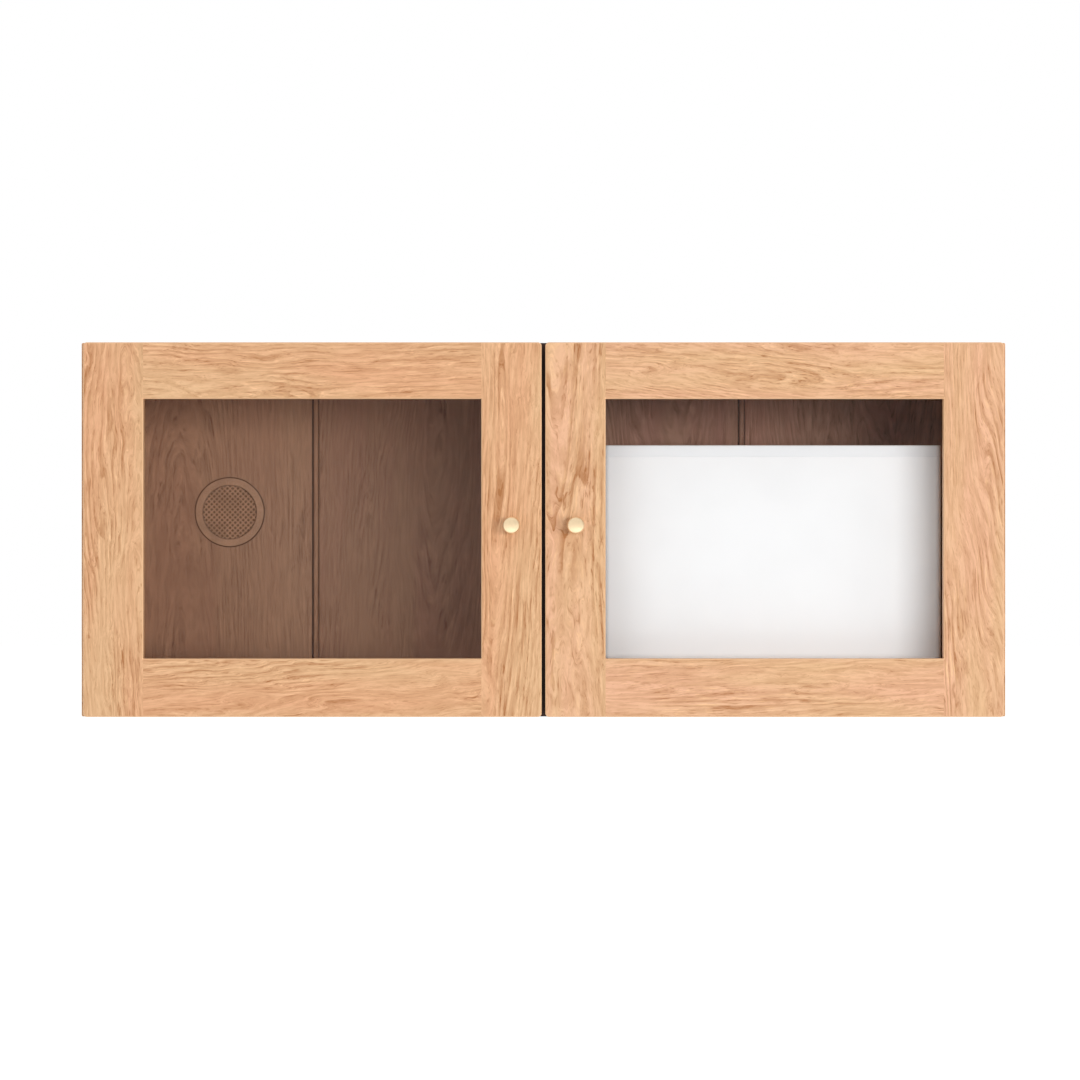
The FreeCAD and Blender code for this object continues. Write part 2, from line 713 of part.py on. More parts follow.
def catch_z():
    """Height of the middle of the catches, under the ceiling."""
    return CEILING - CATCH_H / 2


def catch_housing():
    """Catch body of the left door, fixed under the top panel."""
    front = CASE_FRONT + CATCH_BACKSET
    half = CATCH_W / 2
    body = box((-CATCH_X - half, -CATCH_X + half), (front, front + CATCH_D), (CEILING - CATCH_H, CEILING))
    body = body.makeFillet(CATCH_R, edges_along(body, Z_AXIS))
    return cut_all(body, catch_poles())


def catch_poles():
    """Two steel pole plates that stand out of the catch to meet the strike."""
    front = DOOR_BACK + STRIKE_T + POLE_GAP
    back = CASE_FRONT + CATCH_BACKSET + POLE_BURIED
    middles = [catch_z() + side * POLE_PITCH / 2 for side in (-1, 1)]
    half = POLE_W / 2
    return [box((-CATCH_X - half, -CATCH_X + half), (front, back), (z - POLE_T / 2, z + POLE_T / 2))
            for z in middles]


def strike_plate():
    """Steel plate with round ends and two holes on the back of the left door."""
    half = STRIKE_W / 2
    plate = box((-CATCH_X - half, -CATCH_X + half), (DOOR_BACK, DOOR_BACK + STRIKE_T),
                (catch_z() - STRIKE_H / 2, catch_z() + STRIKE_H / 2))
    plate = plate.makeFillet(CATCH_R, edges_along(plate, Y_AXIS))
    holes = [Part.makeCylinder(STRIKE_HOLE_R, STRIKE_T, Vector(-CATCH_X + side * STRIKE_HOLE_PITCH / 2,
                                                                  DOOR_BACK, catch_z()), Y_AXIS)
             for side in (-1, 1)]
    return cut_all(plate, holes)


def save_case():
    """Write the case, its back, grille, plinth, catches and hinge brackets."""
    pegs = dowels()
    down_screws = cleat_screws()
    foot_screws = board_screws()
    hinge_screws = leaf_screws() + [flipped(piece) for piece in leaf_screws()]
    side = side_panel(pegs + hinge_screws)
    save("side_left", side)
    save("side_right", mirrored(side))
    save("top_panel", top_panel(pegs + down_screws))
    save("bottom_panel", bottom_panel(pegs + foot_screws))
    save("partition", partition())
    save("carcass_dowels", *pegs)
    for index in range(len(BOARD_JOINTS) + 1):
        save("back_board_" + str(index + 1), back_board(index, foot_screws + [vent_hole()]))
    save("back_screws", *foot_screws)
    save("case_cleat", cut_all(case_cleat(), down_screws))
    save("cleat_screws", *down_screws)
    save("vent_ring", vent_ring())
    save("vent_mesh", vent_mesh())
    save("vent_filter", vent_filter())
    save("vent_retainer", vent_retainer())
    save("plinth_body", plinth_body())
    save("plinth_cap", plinth_cap())
    save("catch_housings", catch_housing(), mirrored(catch_housing()))
    save("catch_poles", *catch_poles(), *[mirrored(pole) for pole in catch_poles()])
    brackets = [pivot_bracket(), flipped(pivot_bracket())]
    save("left_pivot_brackets", *brackets)
    save("right_pivot_brackets", *[mirrored(piece) for piece in brackets])
    save("pivot_screws", *hinge_screws, *[mirrored(piece) for piece in hinge_screws])


def door_pieces():
    """Return the pieces of the left door by name, each as a list of solids."""
    blank = door_blank()
    seats = [pivot_recess(), bush_seat()]
    seats += [flipped(seat) for seat in seats]
    pieces = {
        "hinge_stile": [stile(blank, (DOOR_LEFT, SIGHT_LEFT), seats)],
        "knob_stile": [stile(blank, (SIGHT_RIGHT, DOOR_RIGHT), [knob_screw()])],
        "top_rail": [rail(blank, (SIGHT_TOP - SIGHT_EDGE, DOOR_TOP), top_tenons())],
        "bottom_rail": [rail(blank, (DOOR_BOTTOM, SIGHT_BOTTOM + SIGHT_EDGE), bottom_tenons())],
        "glass": [glass()],
        "knob": [knob()],
        "knob_screw": [knob_screw()],
        "bumpers": bumpers(),
        "pivot_bushes": [pivot_bush(), flipped(pivot_bush())],
        "strike_plate": [strike_plate()],
    }
    for side, strip in glazing_beads().items():
        pieces["bead_" + side] = [strip]
    return pieces


def save_doors():
    """Write the left door's pieces and the right door's mirror images of them."""
    for name, solids in door_pieces().items():
        save("left_" + name, *solids)
        save("right_" + name, *[mirrored(solid) for solid in solids])


save("wall_cleat", wall_cleat())
save_case()
save_doors()
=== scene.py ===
"""Looks of the wall mounted showcase: an oak case on a hanging cleat, with two glazed doors.

Metres, +Z up, the wall at y = 0 and the doors facing -Y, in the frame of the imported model.
"""
import math

import bmesh
import bpy
import numpy as np
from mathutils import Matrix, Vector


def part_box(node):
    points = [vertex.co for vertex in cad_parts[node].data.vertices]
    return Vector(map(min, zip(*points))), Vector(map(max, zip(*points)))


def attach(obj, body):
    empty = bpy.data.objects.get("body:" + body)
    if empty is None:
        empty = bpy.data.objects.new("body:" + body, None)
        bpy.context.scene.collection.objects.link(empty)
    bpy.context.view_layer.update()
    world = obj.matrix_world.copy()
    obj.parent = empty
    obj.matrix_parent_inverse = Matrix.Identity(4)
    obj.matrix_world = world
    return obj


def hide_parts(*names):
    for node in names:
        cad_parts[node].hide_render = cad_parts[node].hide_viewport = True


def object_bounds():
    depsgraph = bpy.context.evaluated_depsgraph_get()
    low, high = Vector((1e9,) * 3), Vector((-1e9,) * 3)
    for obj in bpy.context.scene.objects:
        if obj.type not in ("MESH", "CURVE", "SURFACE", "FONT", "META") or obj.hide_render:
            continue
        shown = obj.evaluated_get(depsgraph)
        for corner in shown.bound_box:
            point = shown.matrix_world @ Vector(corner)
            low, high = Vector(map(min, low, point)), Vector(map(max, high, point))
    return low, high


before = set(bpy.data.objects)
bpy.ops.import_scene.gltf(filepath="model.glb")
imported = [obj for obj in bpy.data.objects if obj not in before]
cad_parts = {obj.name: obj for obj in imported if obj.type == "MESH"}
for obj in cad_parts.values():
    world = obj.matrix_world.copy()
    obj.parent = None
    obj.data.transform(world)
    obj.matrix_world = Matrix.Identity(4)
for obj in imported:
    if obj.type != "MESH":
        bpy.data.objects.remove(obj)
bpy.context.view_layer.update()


# ---- Oak door frames ----
# Each door is two stiles and two rails of plain-sawn oak, tenoned together, with beads round its
# pane, all lacquered satin. The grain runs along each member, and each comes from another board.

def paint(red, green, blue):
    """A colour given as it looks on a screen (0 to 255), in the linear values that shaders use."""
    parts = np.array([red, green, blue]) / 255
    linear = np.where(parts <= 0.04045, parts / 12.92, ((parts + 0.055) / 1.055) ** 2.4)
    return (*linear.tolist(), 1.0)


def add_node(tree, kind, inputs=(), **settings):
    """Add a node, set its properties, and set or link its inputs from (socket, value) pairs."""
    made = tree.nodes.new(kind)
    for key, value in settings.items():
        setattr(made, key, value)
    for socket, value in inputs:
        if isinstance(value, bpy.types.NodeSocket):
            tree.links.new(value, made.inputs[socket])
        else:
            made.inputs[socket].default_value = value
    return made


def math_node(tree, operation, *values, clamp=False):
    """Add a Math node on values or sockets and return its output."""
    made = add_node(tree, "ShaderNodeMath", enumerate(values), operation=operation, use_clamp=clamp)
    return made.outputs[0]


def between(tree, share, low, high):
    """A value that goes from low to high as a share goes from 0 to 1."""
    return math_node(tree, "MULTIPLY_ADD", share, high - low, low)


def hypotenuse(tree, first, second):
    """Square root of the sum of the squares of two values."""
    squares = [math_node(tree, "MULTIPLY", part, part) for part in (first, second)]
    return math_node(tree, "SQRT", math_node(tree, "ADD", *squares))


def object_place(tree):
    """The place of a point in the object's own coordinates, in metres."""
    return add_node(tree, "ShaderNodeTexCoord").outputs["Object"]


def parts_of(tree, vector):
    """The x, y and z of a vector, as sockets."""
    return add_node(tree, "ShaderNodeSeparateXYZ", [(0, vector)]).outputs


def scaled_noise(tree, vector, scales, detail, roughness=0.55, distortion=0.0):
    """Noise on a vector that is first stretched by three scales, in features per metre."""
    stretched = add_node(tree, "ShaderNodeVectorMath", [(0, vector), (1, scales)], operation="MULTIPLY")
    noise = add_node(tree, "ShaderNodeTexNoise", [
        ("Vector", stretched.outputs[0]), ("Scale", 1.0), ("Detail", detail),
        ("Roughness", roughness), ("Distortion", distortion)])
    return noise.outputs[0]


def spread(tree, value, low, high):
    """Stretch a value so that low becomes 0 and high becomes 1, with soft ends."""
    made = add_node(tree, "ShaderNodeMapRange", [
        ("Value", value), ("From Min", low), ("From Max", high)], interpolation_type="SMOOTHSTEP")
    return made.outputs[0]


def blend_colours(tree, amount, first, second):
    """Mix two colours or colour sockets by an amount."""
    made = add_node(tree, "ShaderNodeMix", [(0, amount), (6, first), (7, second)], data_type="RGBA")
    return made.outputs[2]


def open_group(name, inputs, outputs):
    """Start a shader node group with named inputs and outputs, each a (name, socket type) pair."""
    tree = bpy.data.node_groups.new(name, "ShaderNodeTree")
    for label, kind in inputs:
        tree.interface.new_socket(label, in_out="INPUT", socket_type="NodeSocket" + kind)
    for label, kind in outputs:
        tree.interface.new_socket(label, in_out="OUTPUT", socket_type="NodeSocket" + kind)
    return tree, tree.nodes.new("NodeGroupInput"), tree.nodes.new("NodeGroupOutput")


# Noise in wood: features per metre along the grain and across it, then detail and roughness
WOOD_NOISE = {
    "sway": (2.8, 12.0, 2.0, 0.5), "curl": (15.0, 60.0, 2.0, 0.5), "figured": (6.0, 20.0, 1.0, 0.55),
    "uneven": (1.5, 30.0, 1.0, 0.55), "broad": (3.0, 22.0, 2.0, 0.55), "patch": (9.0, 36.0, 2.0, 0.55),
    "streak": (24.0, 330.0, 4.0, 0.6), "fine": (38.0, 900.0, 3.0, 0.6),
    "fibre": (90.0, 2200.0, 2.0, 0.6), "pore": (110.0, 1700.0, 2.0, 0.5)}
# The two sines that bend the pith line: radians per metre, start, and reach in metres
PITH_BENDS = ((3.1, 0.0, 0.034), (2.3, 1.0, 0.026))
PITH_SWAY = 0.046
CURL_LEAST, CURL_MOST = 0.003, 0.015
RING_UNEVENNESS = 0.030
RINGS_PER_METRE = 185.0
PALE_LINE_LIFT = 1.22
STREAK_SHADE = 0.34
FIBRE_SHADE = 0.22
PORE_SHADE = 0.6
FIBRE_RELIEF = 0.3


def wood_noise(tree, vector, kind):
    """One kind of noise in wood, on a vector whose x runs along the grain."""
    along, across, detail, roughness = WOOD_NOISE[kind]
    return scaled_noise(tree, vector, (along, across, across), detail, roughness)


def make_wood_figure():
    """Group: plain-sawn wood on grain coordinates (x along the grain), as colour, height and roughness.

    Growth rings are the distance from a pith line that bends in slow sines, so a flat cut shows arches;
    each ring fades in slowly and ends in a sharp late line. Streaks, dark and pale lines, fibres and
    open pores are noise that is drawn out along the grain, and pores crowd along the late lines.
    """
    tree, given, result = open_group(
        "wood figure",
        [("Grain", "Vector"), ("Light", "Color"), ("Dark", "Color"), ("Tint", "Color"),
         ("Streaks", "Float"), ("Rings", "Float"), ("Pores", "Float")],
        [("Color", "Color"), ("Height", "Float"), ("Roughness", "Float")])
    grain, light, dark, tint, streaks, rings, pores = (given.outputs[label] for label in (
        "Grain", "Light", "Dark", "Tint", "Streaks", "Rings", "Pores"))

    sway = math_node(tree, "SUBTRACT", wood_noise(tree, grain, "sway"), 0.5)
    curl = math_node(tree, "SUBTRACT", wood_noise(tree, grain, "curl"), 0.5)
    figured = spread(tree, wood_noise(tree, grain, "figured"), 0.42, 0.62)
    curl = math_node(tree, "MULTIPLY", curl, between(tree, figured, CURL_LEAST, CURL_MOST))
    wander = math_node(tree, "MULTIPLY_ADD", sway, PITH_SWAY, curl)
    x, y, z = parts_of(tree, grain)
    bends = []
    for rate, start, reach in PITH_BENDS:
        wave = math_node(tree, "SINE", math_node(tree, "MULTIPLY_ADD", x, rate, start))
        bends.append(math_node(tree, "MULTIPLY_ADD", wave, reach, wander))
    radius = hypotenuse(tree, math_node(tree, "ADD", z, bends[1]), math_node(tree, "ADD", y, bends[0]))
    uneven = math_node(tree, "MULTIPLY_ADD", wood_noise(tree, grain, "uneven"), RING_UNEVENNESS, radius)
    year = math_node(tree, "FRACT", math_node(tree, "MULTIPLY", uneven, RINGS_PER_METRE))
    late = math_node(tree, "MULTIPLY", spread(tree, year, 0.35, 0.92), spread(tree, year, 1.0, 0.94))

    flow = add_node(tree, "ShaderNodeCombineXYZ", [
        (0, x), (1, math_node(tree, "ADD", y, wander)), (2, radius)]).outputs[0]
    streak = spread(tree, wood_noise(tree, flow, "streak"), 0.62, 0.40)
    fine = wood_noise(tree, flow, "fine")
    line = spread(tree, fine, 0.55, 0.70)
    pale = spread(tree, fine, 0.48, 0.34)
    fibre = wood_noise(tree, flow, "fibre")
    broad = spread(tree, wood_noise(tree, grain, "broad"), 0.35, 0.68)
    patch = spread(tree, wood_noise(tree, grain, "patch"), 0.38, 0.62)
    pore = spread(tree, wood_noise(tree, flow, "pore"), 0.57, 0.68)
    pore = math_node(tree, "MULTIPLY", pore, between(tree, late, 0.35, 1.0))
    sunk = math_node(tree, "MULTIPLY", pore, pores)

    paler = add_node(tree, "ShaderNodeVectorMath", [(0, light), ("Scale", PALE_LINE_LIFT)], operation="SCALE")
    glint = math_node(tree, "MULTIPLY", pale, between(tree, patch, 0.25, 0.75))
    tone = blend_colours(tree, glint, blend_colours(tree, broad, light, tint), paler.outputs[0])
    shade = math_node(tree, "MULTIPLY", streak, math_node(tree, "MULTIPLY", streaks, STREAK_SHADE))
    lines = math_node(tree, "MULTIPLY", line, between(tree, patch, 0.30, 0.80))
    shade = math_node(tree, "MULTIPLY_ADD", lines, streaks, shade)
    late = math_node(tree, "MULTIPLY", late, between(tree, patch, 0.10, 0.85))
    shade = math_node(tree, "MULTIPLY_ADD", late, rings, shade)
    shade = math_node(tree, "ADD", shade, between(tree, fibre, -FIBRE_SHADE, FIBRE_SHADE), clamp=True)
    tone = blend_colours(tree, shade, tone, dark)
    tone = blend_colours(tree, math_node(tree, "MULTIPLY", sunk, PORE_SHADE), tone, dark)
    height = math_node(tree, "SUBTRACT", math_node(tree, "MULTIPLY", fibre, FIBRE_RELIEF), sunk)
    tree.links.new(tone, result.inputs["Color"])
    tree.links.new(height, result.inputs["Height"])
    tree.links.new(between(tree, sunk, 0.44, 0.69), result.inputs["Roughness"])
    return tree


def make_eased_edges():
    """Group: 1 on rounded and chamfered edges and 0 on faces square to the axes, from the object's normal."""
    tree, _, result = open_group("eased edges", [], [("Edge", "Float")])
    normal = add_node(tree, "ShaderNodeTexCoord").outputs["Normal"]
    size = add_node(tree, "ShaderNodeVectorMath", [(0, normal)], operation="ABSOLUTE")
    x, y, z = parts_of(tree, size.outputs[0])
    most = math_node(tree, "MAXIMUM", math_node(tree, "MAXIMUM", x, y), z)
    tree.links.new(spread(tree, most, 0.995, 0.93), result.inputs["Edge"])
    return tree


WOOD_FIGURE = make_wood_figure()
EASED_EDGES = make_eased_edges()
GRAIN_TURN = {"x": (0, 0, 0), "z": (0, math.pi / 2, 0)}


def group_node(tree, group, inputs=()):
    """Place a node group in a material."""
    return add_node(tree, "ShaderNodeGroup", inputs, node_tree=group)


def new_material(name):
    """Start a material and return it with its tree and its Principled shader."""
    material = bpy.data.materials.new(name)
    material.use_nodes = True
    return material, material.node_tree, material.node_tree.nodes["Principled BSDF"]


def add_relief(tree, shader, height, strength, distance):
    """Give a shader the relief of a height, as bump."""
    bump = add_node(tree, "ShaderNodeBump", [
        ("Height", height), ("Strength", strength), ("Distance", distance)])
    tree.links.new(bump.outputs[0], shader.inputs["Normal"])


def paint_over(material, share, tone):
    """Lay a tone over a material's own colour, as thickly as a share between 0 and 1."""
    tree = material.node_tree
    colour = tree.nodes["Principled BSDF"].inputs["Base Color"]
    tree.links.new(blend_colours(tree, share, colour.links[0].from_socket, tone), colour)


def grain_vector(tree, axis, offset):
    """Object coordinates turned so that x runs along the grain, and moved to another part of the log."""
    turned = add_node(tree, "ShaderNodeMapping", [
        ("Vector", object_place(tree)), ("Rotation", GRAIN_TURN[axis]), ("Location", offset)])
    return turned.outputs[0]


# Painted highlight on eased edges: the gain and lift of its paler tone over the wood's light one
EDGE_HIGHLIGHT_GAIN, EDGE_HIGHLIGHT_LIFT = 1.25, 0.02


def wood(name, axis, offset, light, dark, tint, streaks=0.9, rings=0.55, pores=0.8, edge=0.3):
    """Lacquered wood with its grain along an axis, and a painted highlight that makes eased edges paler."""
    material, tree, shader = new_material(name)
    figure = group_node(tree, WOOD_FIGURE, [
        ("Grain", grain_vector(tree, axis, offset)), ("Light", light), ("Dark", dark), ("Tint", tint),
        ("Streaks", streaks), ("Rings", rings), ("Pores", pores)])
    tree.links.new(figure.outputs["Color"], shader.inputs["Base Color"])
    edge_highlight = math_node(tree, "MULTIPLY", group_node(tree, EASED_EDGES).outputs["Edge"], edge)
    pale = tuple(min(1.0, part * EDGE_HIGHLIGHT_GAIN + EDGE_HIGHLIGHT_LIFT) for part in light[:3]) + (1.0,)
    paint_over(material, edge_highlight, pale)
    add_relief(tree, shader, figure.outputs["Height"], strength=0.35, distance=0.0003)
    tree.links.new(figure.outputs["Roughness"], shader.inputs["Roughness"])
    shader.inputs["Specular IOR Level"].default_value = 0.35
    return material


OAK_LIGHT = paint(227, 185, 142)
OAK_DARK = paint(170, 112, 66)
OAK_TINT = paint(227, 173, 133)
DOOR_TINTS = {"left_": OAK_TINT, "right_": paint(233, 182, 147)}
# Grain axis, strength of streaks and of rings, distance of the face from the pith, and the pith's shift
OAK_MEMBERS = {
    "hinge_stile": ("z", 0.8, 0.50, 0.050, 0.030), "knob_stile": ("z", 0.9, 0.60, 0.045, 0.006),
    "top_rail": ("x", 0.85, 0.38, 0.040, 0.110), "bottom_rail": ("x", 0.85, 0.45, 0.050, 0.080),
    "bead_hinge": ("z", 0.7, 0.30, 0.080, 0.050), "bead_knob": ("z", 0.7, 0.30, 0.070, 0.050),
    "bead_top": ("x", 0.7, 0.30, 0.090, 0.060), "bead_bottom": ("x", 0.7, 0.30, 0.080, 0.060)}


LOG_STRETCH = 3.7


def finish_node(name, material):
    """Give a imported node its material."""
    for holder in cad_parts[name].material_slots:
        holder.material = material


def log_place(node, axis, number, depth, shift):
    """Offset that puts a board at its place in the log: its face at a depth from the pith, the pith
    shifted to one side of its middle, and a stretch of the log that no other board has."""
    low, high = (np.array(corner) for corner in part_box(node))
    x, y, z = (low + high) / 2
    middle = np.array((x, y, z) if axis == "x" else (z, y, -x))
    thin = "xyz"[int(np.argmin(high - low))]
    place = (LOG_STRETCH * number, depth, shift) if thin == "y" else (LOG_STRETCH * number, shift, depth)
    return tuple((np.array(place) - middle).tolist())


# The door members take a strong painted highlight on their eased edges (edge=0.7).
for door_number, (door, tint) in enumerate(DOOR_TINTS.items()):
    for number, (member, (axis, streaks, rings, depth, shift)) in enumerate(OAK_MEMBERS.items()):
        node = door + member
        log = log_place(node, axis, 1 + number + len(OAK_MEMBERS) * door_number, depth, shift)
        finish_node(node, wood("oak " + node, axis, log, OAK_LIGHT, OAK_DARK, tint, streaks, rings, edge=0.7))


# ---- Case ----
# Sides, top and bottom are lacquered oak boards like the doors, doweled at the corners.
# The two hanging cleats are plain hardwood with less figure, fixed with screws.

GAP_SHADE_HALF_WIDTH = 0.0096
GAP_SHADE_DEPTH = 0.0002
GAP_SHADE_FADE = 0.0004


def paint_gap_shade(material):
    """Paint shade, near black, on the case's front edge near its middle, where the gap between the doors
    shows it.
    """
    tree = material.node_tree
    x, y, _ = parts_of(tree, object_place(tree))
    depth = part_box("partition")[0].y + GAP_SHADE_DEPTH
    in_front = spread(tree, y, depth + GAP_SHADE_FADE, depth)
    near = spread(tree, math_node(tree, "ABSOLUTE", x), GAP_SHADE_HALF_WIDTH + GAP_SHADE_FADE, GAP_SHADE_HALF_WIDTH)
    paint_over(material, math_node(tree, "MULTIPLY", in_front, near), paint(56, 30, 20))


CASE_MEMBERS = {"side_left": "z", "side_right": "z", "top_panel": "x", "bottom_panel": "x"}
for number, (member, axis) in enumerate(CASE_MEMBERS.items()):
    log = log_place(member, axis, 21 + number, depth=0.060 + 0.006 * number, shift=0.02 * (number - 1))
    oak = wood("oak " + member, axis, log, OAK_LIGHT, OAK_DARK, OAK_TINT, streaks=0.7, rings=0.35)
    # The top and bottom panels get near-black painted shade on their front edge where the door gap shows it.
    if axis == "x":
        paint_gap_shade(oak)
    finish_node(member, oak)

CLEAT_LIGHT = paint(214, 178, 134)
CLEAT_DARK = paint(170, 128, 88)
for number, member in enumerate(("wall_cleat", "case_cleat", "carcass_dowels")):
    log = log_place(member, "x", 31 + number, depth=0.080, shift=0.040)
    plain = wood("hardwood " + member, "x", log, CLEAT_LIGHT, CLEAT_DARK, CLEAT_LIGHT, rings=0.3, pores=0.3)
    finish_node(member, plain)


# ---- Beaded back boards ----
# Tongue-and-groove boards with upright grain and a bead beside each joint, in a warm brown stain.
# Each board's tone differs, partly its own and partly as painted light and shade across the bays,
# and painted shade darkens the grooves. The partition is stained too, and its front edge, which
# shows between the doors, carries near-black painted shade.

# The lighter and the redder tone of each board's stain. The boards differ partly in their own tone and
# partly as painted light and shade: board 2 darker, boards 3 and 4 lighter and bluer.
STAINS_AND_PAINTED_LIGHT = {
    "back_board_1": (paint(174, 135, 107), paint(171, 129, 103)),
    "back_board_2": (paint(166, 128, 102), paint(163, 121, 99)),
    "back_board_3": (paint(180, 139, 118), paint(174, 128, 112)),
    "back_board_4": (paint(193, 150, 129), paint(187, 139, 121)),
    "partition": (paint(173, 134, 106), paint(164, 118, 96))}
STAIN_DARK = paint(118, 82, 62)
BOARD_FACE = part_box("back_board_4")[0].y
GROOVE_START, GROOVE_FULL = BOARD_FACE + 0.0004, BOARD_FACE + 0.0016
GROOVE_LAST, GROOVE_END = BOARD_FACE + 0.006, BOARD_FACE + 0.007
GROOVE_SHADE_SHARE = 0.9


def paint_groove_shade(material):
    """Paint shade on a board where it lies 0.4 to 1.6 mm and more behind its face, but not at its back."""
    tree = material.node_tree
    _, y, _ = parts_of(tree, object_place(tree))
    share = math_node(tree, "MULTIPLY", spread(tree, y, GROOVE_START, GROOVE_FULL),
                      spread(tree, y, GROOVE_END, GROOVE_LAST))
    paint_over(material, math_node(tree, "MULTIPLY", share, GROOVE_SHADE_SHARE), paint(70, 44, 32))


for number, (name, (light, tint)) in enumerate(STAINS_AND_PAINTED_LIGHT.items()):
    log = log_place(name, "z", 41 + number, depth=0.070, shift=0.03 * (number - 1))
    stained = wood(
        "stained " + name, "z", log, light, STAIN_DARK, tint, streaks=0.7, rings=0.35, pores=0.35, edge=0.0)
    # Painted shade: near black on the partition's front edge, and darker in each board's grooves.
    if name == "partition":
        paint_gap_shade(stained)
    else:
        paint_groove_shade(stained)
    finish_node(name, stained)


# ---- Ventilation grille ----
# A turned ring with a rounded flange is let into the left board. Behind its lip stand a lattice of
# bars, a felt filter and a ring that holds them. The metal is painted in the brown of the boards,
# with painted shade along the ring's edges.

def put_in(name, points, faces, sharp=math.radians(35)):
    """Make an object from points and faces: doubles merged, faces outwards, smooth up to an angle."""
    mesh = bpy.data.meshes.new(name)
    mesh.from_pydata(points, [], faces)
    work = bmesh.new()
    work.from_mesh(mesh)
    bmesh.ops.remove_doubles(work, verts=work.verts, dist=1e-6)
    bmesh.ops.recalc_face_normals(work, faces=work.faces)
    work.to_mesh(mesh)
    work.free()
    mesh.shade_smooth()
    mesh.set_sharp_from_angle(angle=sharp)
    made = bpy.data.objects.new(name, mesh)
    bpy.context.scene.collection.objects.link(made)
    return made


def weave_faces(rows, columns, start=0, closed=True):
    """Quads between neighbouring points of a grid whose rows close on themselves, and whose columns may."""
    row, column = np.meshgrid(np.arange(rows if closed else rows - 1), np.arange(columns), indexing="ij")
    after_row = (row + 1) % rows
    after_column = (column + 1) % columns
    corners = (row * columns + column, row * columns + after_column,
               after_row * columns + after_column, after_row * columns + column)
    return (np.stack(corners, axis=-1).reshape(-1, 4) + start).tolist()


def round_off(corners, radii, steps=8):
    """Profile through corners, each replaced by an arc of its radius, tangent to both of its sides."""
    corners = np.array(corners, float)
    out = []
    count = len(corners)
    for index, (corner, radius) in enumerate(zip(corners, radii)):
        if radius == 0:
            out.append(corner)
            continue
        back = corners[index - 1] - corner
        ahead = corners[(index + 1) % count] - corner
        back = back / np.linalg.norm(back)
        ahead = ahead / np.linalg.norm(ahead)
        half = math.acos(np.clip(back @ ahead, -1, 1)) / 2
        reach = radius / math.tan(half)
        centre = corner + (back + ahead) / np.linalg.norm(back + ahead) * radius / math.sin(half)
        first = corner + back * reach - centre
        last = corner + ahead * reach - centre
        sweep = math.pi - 2 * half
        for share in np.linspace(0, 1, steps):
            weights = math.sin((1 - share) * sweep), math.sin(share * sweep)
            out.append(centre + (first * weights[0] + last * weights[1]) / math.sin(sweep))
    return np.array(out)


def lathe(profile, centre, segments):
    """Points of a profile of (radius, depth) carried round the y axis through centre, row by row."""
    angle = np.linspace(0, 2 * math.pi, segments, endpoint=False)
    radius, depth = profile[:, :1], profile[:, 1:] * np.ones(segments)
    grid = [centre[0] + radius * np.cos(angle), centre[1] + depth, centre[2] + radius * np.sin(angle)]
    return np.stack(grid, axis=-1).reshape(-1, 3)


def turned_piece(name, profile, centre, segments=96, solid=False):
    """Closed piece turned round the y axis from a profile of (radius, depth).

    The profile is a loop, or, where the piece is solid, a line that starts and ends on the axis.
    """
    faces = weave_faces(len(profile), segments, closed=not solid)
    return put_in(name, lathe(profile, centre, segments).tolist(), faces)


def axis_distance(tree, place, centre):
    """Distance of a place from the line along y through a centre."""
    moved = add_node(tree, "ShaderNodeMapping", [("Vector", place), ("Location", [-part for part in centre])])
    x, _, z = parts_of(tree, moved.outputs[0])
    return hypotenuse(tree, x, z)


def shade_of(tone, share):
    """A tone multiplied by a share."""
    return tuple(part * share for part in tone[:3]) + (1.0,)


def painted_brown(name, tone):
    """Satin brown paint on metal: a fine orange-peel and slight unevenness of tone."""
    material, tree, shader = new_material(name)
    place = object_place(tree)
    cloud = spread(tree, scaled_noise(tree, place, (60.0, 60.0, 60.0), 3.0), 0.3, 0.7)
    tree.links.new(blend_colours(tree, cloud, tone, shade_of(tone, 0.80)), shader.inputs["Base Color"])
    peel = scaled_noise(tree, place, (1500.0, 1500.0, 1500.0), 2.0)
    add_relief(tree, shader, peel, strength=0.15, distance=0.0001)
    tree.links.new(between(tree, cloud, 0.44, 0.52), shader.inputs["Roughness"])
    return material


ring_low, ring_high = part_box("vent_ring")
mesh_low, mesh_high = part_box("vent_mesh")
ring_centre = ((ring_low.x + ring_high.x) / 2, BOARD_FACE, (ring_low.z + ring_high.z) / 2)
FLANGE_R = (ring_high.x - ring_low.x) / 2
SIGHT_R = 0.0315
SPIGOT_R = 0.0349
BORE_R = 0.0332
LIP_ROUND = 0.0012
RIM_ROUND = 0.0014
flange_front = ring_low.y - BOARD_FACE
spigot_back = ring_high.y - BOARD_FACE
ring_profile = round_off(
    [(SIGHT_R, 0), (SIGHT_R, flange_front), (FLANGE_R, flange_front), (FLANGE_R, 0),
     (SPIGOT_R, 0), (SPIGOT_R, spigot_back), (BORE_R, spigot_back), (BORE_R, 0)],
    [0, LIP_ROUND, RIM_ROUND, 0, 0, 0, 0, 0])


# How far in from the flange's edge and out from the lip's edge the bands of painted shade start and are full
EDGE_SHADE_BAND = (0.0016, 0.0008)
LIP_SHADE_BAND = (0.0014, 0.0004)
LIP_SHADE_SHARE = 0.6


